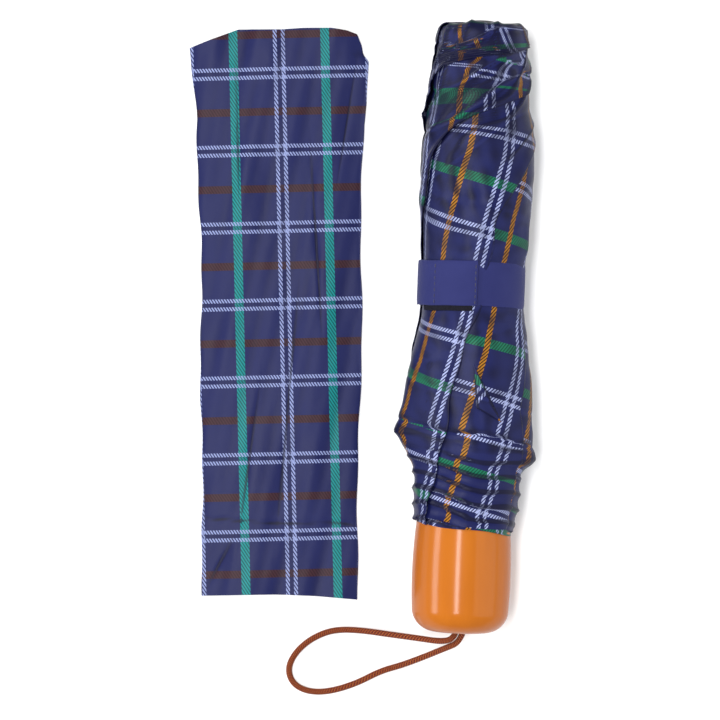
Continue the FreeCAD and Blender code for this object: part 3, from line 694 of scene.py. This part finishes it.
def bundle_point(angle, run, depth, lift):
    """A point of the bundle. angle is measured from the top towards the right, run from the crown's hole down
    the cloth, depth is the share of the layers above it and lift its height over its layer."""
    top_radius = np.interp(SIDE_TOP, *steps_of(BUNDLE))
    on_top = run < NECK_RUN
    rim = np.clip((run - NECK_RUN) / RIM_RUN, 0, 1) * math.pi / 2
    y = np.where(on_top, CLOTH_TOP, SIDE_TOP + RIM_RADIUS * np.cos(rim))
    y = y - np.clip(run - NECK_RUN - RIM_RUN, 0, None)
    radial = NECK_RADIUS + (top_radius - RIM_RADIUS - NECK_RADIUS) * np.clip(run / NECK_RUN, 0, 1)
    radial = radial + RIM_RADIUS * np.sin(rim)
    below = run > NECK_RUN + RIM_RUN
    base = eased(BUNDLE, y)
    radius = np.where(below, base, radial)
    tip = np.where(np.sin(angle) < 0, eased(LEFT_TIP, y, 0.6), eased(RIGHT_TIP, y, 0.6))
    tip = tip * np.abs(np.sin(angle)) ** 7
    height = np.minimum(radius, CLOTH_HEIGHT)
    inner = np.where(y > COLLAR_Y, FRAME_RADIUS, GRIP_COLLAR)
    inner = inner + (GRIP_COLLAR - FRAME_RADIUS) * smooth((COLLAR_Y + 2.5 - y) / 2.5) * (y > COLLAR_Y)
    room = np.clip(np.where(below, base - inner, 2.2), 0.25, 3.6)
    relief = bundle_relief(angle, y) * np.clip(run / NECK_RUN, 0.25, 1)
    offset = relief + lift - room * depth
    normal_y = np.where(on_top, 1.0, np.cos(rim)) * (~below)
    normal_r = np.where(on_top, 0.0, np.sin(rim))
    normal_r = np.where(below, 1.0, normal_r)
    spread = normal_r * offset
    x = np.sin(angle) * (radius + tip * (1 - 0.15 * depth) + spread)
    z = np.cos(angle) * (height + spread)
    floor = FLOOR_GAP - shaft.z / MM
    above = z - floor
    z = floor + 0.5 * (above + np.sqrt(above**2 + 0.7 * (1 + depth)))
    y = y + normal_y * offset
    return np.stack([x * MM + shaft.x, y * MM, z * MM + shaft.z], axis=1)


def pleat(number):
    """One gore, folded in two and wound round the frame under its neighbours."""
    edge_points = [(row[0], row[number + 1]) for row in EDGES]
    edge_angle = followed(edge_points, line_y)
    start = math.radians(EDGES[3][number + 1])
    print_turn = math.radians(PRINT_TURN[number])
    print_shift = PRINT_SHIFT[number]
    length = NECK_RUN + RIM_RUN + SIDE_TOP + HEM_DROP

    def shape(a, b):
        across = np.abs(2 * b - 1)
        wound = WRAP * across**1.6
        upper = b > 0.5
        bottom = 2.4 * np.sin(start - wound - 0.9) + 0.7 * np.sin(3 * (start - wound)) - 0.25 * number
        run = a * (length + bottom)
        y = CLOTH_TOP - np.clip(run - NECK_RUN, 0, None)
        angle = np.interp(y, line_y, edge_angle) - wound
        from_edge = wound * BUNDLE_ROUND
        wander = 0.05 * np.sin(y / 9.0 + number * 2.1) + 0.03 * np.sin(y / 3.7 + number)
        angle = angle + wander * np.exp(-from_edge / 8)
        depth = wound / WRAP
        rounding = np.sqrt(1 - (1 - np.clip(from_edge / 0.9, 0, 1)) ** 2)
        half = (0.035 + 0.22 * np.exp(-from_edge / 9)) * rounding
        puff = 0.55 * np.exp(-((from_edge / 7.0) ** 2))
        puff = puff * (0.7 + 0.5 * pleat_waves(y, from_edge + 40 * number))
        own = 0.10 * pleat_waves(from_edge * 1.3 + 31 * number, y * 0.8) * np.exp(-from_edge / 60)
        lift = np.where(upper, half, -half) + (puff + own) * (1 - 0.85 * held_by_tie(y))
        points = bundle_point(angle, run, depth, lift)
        slope = np.interp(y, line_y, line_slope)
        off = (np.interp(y, line_y, line_angle) + print_turn - angle) * PRINT_ROUND
        fall = slope / np.sqrt(1 + slope**2)
        v = np.interp(y, line_y, line_run) - off * fall
        u = off * np.sqrt(1 - fall**2)
        slip_u, slip_v = print_slip(angle, y)
        cloth = np.stack([(u + slip_u) * MM, (v + slip_v - print_shift) * MM], axis=1)
        return points, cloth

    name = f"canopy_pleat_{number + 1}"
    piece = grid_piece(name, 200, 300, shape, canopy_cloth, "umbrella")
    return piece


pleats = [pleat(number) for number in range(len(PRINT_TURN))]
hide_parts("canopy_bundle")


def turned_corner():
    """A corner of the second pleat that is folded back over itself beside the first one's edge."""
    top, foot, side = np.array((0.8, -14.5)), np.array((11.6, -36.5)), np.array((2.4, -31.5))
    widest = 0.72  # how far down its length the corner is widest

    def shape(a, b):
        across = np.abs(2 * b - 1)
        reach = across * np.minimum(a / widest, (1 - a) / (1 - widest))
        spot = top + (foot - top) * a[:, None]
        spot = spot + (side - top - (foot - top) * widest) * reach[:, None]
        x, y = spot[:, 0], spot[:, 1]
        angle = np.arcsin(x / 21.5)
        run = NECK_RUN + RIM_RUN + SIDE_TOP - y
        lift = 0.55 + 0.35 * np.sin(math.pi * a) * (1 - across)
        lift = lift + np.where(b > 0.5, 0.14, -0.14) * (across < 1)
        points = bundle_point(angle, run, np.zeros_like(a), lift)
        # the print runs askew on the turned cloth
        cloth = np.stack([(x - 0.72 * y - 22.0) * MM, (y + 0.5 * x) * MM], axis=1)
        return points, cloth

    return grid_piece("canopy_turned_corner", 40, 24, shape, canopy_cloth, "umbrella")


corner = turned_corner()

# ---- strap, tab, stitches and hook pad -----------------------------------------------------------

STRAP_MIDDLE, STRAP_WIDTH = 16.4, 17.2
STRAP_HALF, STRAP_TOP = 20.35, 20.0
STITCH_PITCH = 2.3
STITCH = Matrix.Diagonal((0.22 * MM, 0.75 * MM, 0.18 * MM, 1))  # half sizes of one stitch


def strap_point(angle, y, lift):
    """A point over the tied cloth, lift above the strap's middle."""
    x = np.sin(angle) * (STRAP_HALF + lift)
    z = np.cos(angle) * (STRAP_TOP + lift)
    floor = FLOOR_GAP + 0.3 * lift - shaft.z / MM
    z = floor + 0.5 * (z - floor + np.sqrt((z - floor) ** 2 + 0.3))
    return np.stack([x * MM + shaft.x, y * MM, z * MM + shaft.z], axis=1)


def band(name, start, stop, middle, width, lift, thickness, material, body, slot, closed=False):
    """A length of webbing bent round the bundle from one angle to another, with rounded edges."""

    def shape(a, b):
        angle = np.radians(start + (stop - start) * a)
        turn = TURN * b
        side = np.sign(np.cos(turn)) * np.abs(np.cos(turn)) ** 0.25
        face = np.sign(np.sin(turn)) * np.abs(np.sin(turn)) ** 0.5
        end = 1.0 if closed else np.sqrt(np.clip(1 - np.abs(2 * a - 1) ** 90, 0, 1))
        waver = 0.18 * np.sin(angle * 3.1 + 0.6) + 0.07 * np.sin(angle * 9.0)
        y = middle + waver + side * width / 2
        buckle = 0.10 * np.sin(angle * 6 + 0.5) * np.cos(side * 1.2)
        bow = 0.12 * np.abs(side) ** 6
        points = strap_point(angle, y, lift + buckle - bow + face * end * thickness / 2)
        return points, np.stack([y * MM, angle * 20.3 * MM], axis=1)

    piece = grid_piece(name, 260, 48, shape, material, body)
    weld(piece, 0.002 * MM)
    return piece


def stitches(name, angles, low, high, lift):
    """A row of short raised threads from low to high at each angle."""
    work = bmesh.new()
    for angle in np.radians(angles):
        turn = Matrix.Rotation(float(angle), 4, "Y")
        for y in np.arange(low, high, STITCH_PITCH):
            spot = Matrix.Translation(strap_point(angle[None], y[None], lift)[0])
            bmesh.ops.create_icosphere(work, subdivisions=2, radius=1.0, matrix=spot @ turn @ STITCH)
    return as_object(work, name, thread_finish, "strap_tab")


strap = band("strap_band", 0, 360, STRAP_MIDDLE, STRAP_WIDTH, 0.0, 0.7, ribbon_cloth,
             "umbrella", "navy_cloth", closed=True)
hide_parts("tie_strap")
tab = band("strap_tab_band", -88, 3.6, STRAP_MIDDLE + 0.25, STRAP_WIDTH + 0.3, 1.0, 0.75, ribbon_cloth,
           "strap_tab", "navy_cloth")
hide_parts("strap_tab")
pad = band("strap_tab_hooks", -64, -1, 9.2, 6.6, 0.45, 0.5, hook_finish, "strap_tab", "navy_cloth")
rows = stitches("strap_tab_stitches", (-44, 1.2), 9.2, 24.2, 1.46)

for piece in (*pleats, corner, strap, tab, pad, rows):
    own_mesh(piece)

# ---- canopy between the ribs, worked out from the open canopy and laid closed --------------------

CROWN_Y = 106.0
# the rib's joints in the closed umbrella, out from the shaft and down from the crown's pivots
RIB = [(8.0, 0.0), (12.0, 150.0), (14.6, 5.0), (15.4, 180.0)]
# how far each part of the rib turns as the canopy opens
OPEN_TURN = [80.0, 80.0 - 192.0, 80.0 - 192.0 + 164.0]
SPREAD = 179.9  # degrees from one end of a panel to the other, in the open canopy
FAN_WIDTH = 6.0
GORE = TURN / 8  # between two ribs
CLOTH_OVER_RIB = 2.0


def lean(start, end):
    return math.atan2(end[0] - start[0], end[1] - start[1])


def direction(angle):
    """Along a rib part and out of the canopy's face, both as (out, down)."""
    return np.array([math.sin(angle), math.cos(angle)]), np.array([math.cos(angle), -math.sin(angle)])


PART_LENGTHS = [math.dist(start, end) for start, end in zip(RIB, RIB[1:])]
closed_leans = [lean(start, end) for start, end in zip(RIB, RIB[1:])]
open_leans = [closed + math.radians(turn) for closed, turn in zip(closed_leans, OPEN_TURN)]
open_joints = [np.array(RIB[0])]
for part_length, angle in zip(PART_LENGTHS, open_leans):
    open_joints.append(open_joints[-1] + part_length * direction(angle)[0])


def fan(part, name, rib):
    """Half of the canopy beside one part of a rib. It lies closed as a narrow strip; its points are set so
    that a turn about the shaft would bring each to its place over four gores of the open canopy. It is tied
    to no body."""
    side = 1 if rib == 1 else -1
    foot, angle = open_joints[part], open_leans[part]
    u_open, n_open = direction(angle)
    u_shut, n_shut = direction(closed_leans[part])
    length = PART_LENGTHS[part]
    # the cloth's tilt where this part of the rib meets the ones before and after it
    before = (angle + open_leans[part - 1]) / 2 if part > 0 else angle
    after = (angle + open_leans[part + 1]) / 2 if part < 2 else angle
    start_s = -2.2 if part == 0 else 0.0
    end_s = length + (1.5 if part == 2 else 0.0)
    widths = np.linspace(0, FAN_WIDTH, 2001)
    swept = math.radians(SPREAD) * smooth(widths / FAN_WIDTH)

    def shape(a, b, layer):
        s = start_s + (end_s - start_s) * b
        share = np.clip(s / length, 0, 1)
        tilt = before * (1 - share) + after * share
        normal = np.stack([np.cos(tilt), -np.sin(tilt)], axis=1)
        at_crown = 1.2 * np.exp(-np.clip(s, 0, None) / 14) if part == 0 else 0.0 * s
        phi = math.pi * a
        middle = (np.floor(np.clip(phi / GORE, 0, 3.999)) + 0.5) * GORE
        off = (phi - middle) / (GORE / 2)
        chord = np.clip(1 - off**2, 0, 1)
        profile = foot + s[:, None] * u_open + (CLOTH_OVER_RIB + at_crown)[:, None] * normal
        sag = chord * profile[:, 0] * (1 - math.cos(GORE / 2))
        profile = profile - (0.5 * np.cos(tilt) * sag)[:, None] * normal
        if part == 2:
            profile = profile - (0.95 * sag * share**3)[:, None] * u_open
        if part == 0:
            # over the crown and under its cap
            profile[:, 1] = np.minimum(profile[:, 1], -2.95 + 0.3 * np.clip(profile[:, 0] - 9.4, 0, None))
        profile = profile + 0.12 * layer[:, None] * n_open
        rho = profile[:, 0]
        y = np.empty_like(rho)
        for number, (radius, target) in enumerate(zip(rho, phi)):
            y[number] = np.interp(target, swept + np.arcsin(np.clip(widths / radius, 0, 1)), widths)
        radial = np.sqrt(np.clip(rho**2 - y**2, 0, None))
        away = np.stack([radial, profile[:, 1]], axis=1) - foot
        along_rib, out = away @ u_open, away @ n_open
        shut = np.array(RIB[part]) + along_rib[:, None] * u_shut + out[:, None] * n_shut
        x = shaft.x / MM + side * shut[:, 0]
        z = shaft.z / MM + side * y
        points = np.stack([x, CROWN_Y - shut[:, 1], z], axis=1) * MM
        run = sum(PART_LENGTHS[:part]) + s
        return points, phi, profile[:, 0], run

    work = bmesh.new()
    work.loops.layers.uv.new("cloth")
    bmesh.ops.create_grid(work, x_segments=128, y_segments=26, size=0.5)
    bmesh.ops.solidify(work, geom=work.faces[:], thickness=0.01)
    bmesh.ops.recalc_face_normals(work, faces=work.faces)
    work.verts.ensure_lookup_table()
    piece = as_object(work, f"canopy_fan_{name}_{rib}", canopy_cloth, None)
    mesh = piece.data
    places = np.empty(len(mesh.vertices) * 3)
    mesh.vertices.foreach_get("co", places)
    places = places.reshape(-1, 3)
    layer = np.where(places[:, 2] > places[:, 2].mean(), 1.0, -1.0)
    a, b = np.round(places[:, 0] + 0.5, 6), np.round(places[:, 1] + 0.5, 6)
    points, phi, rho, run = shape(a, b, layer)
    mesh.vertices.foreach_set("co", points.astype(np.float32).ravel())
    cloth = mesh.uv_layers["cloth"].data
    for face in mesh.polygons:
        corners = list(face.vertices)
        middle = (math.floor(float(np.mean(phi[corners])) / GORE * 0.99999) + 0.5) * GORE
        for loop, vertex in zip(face.loop_indices, corners):
            u = rho[vertex] * math.sin(phi[vertex] - middle)
            cloth[loop].uv = (u * MM, run[vertex] * MM)
    mesh.update()
    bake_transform(piece)
    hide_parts(f"fold_{name}_{rib}")


for rib in (1, 5):
    for part, name in enumerate(("inner", "middle", "outer")):
        fan(part, name, rib)
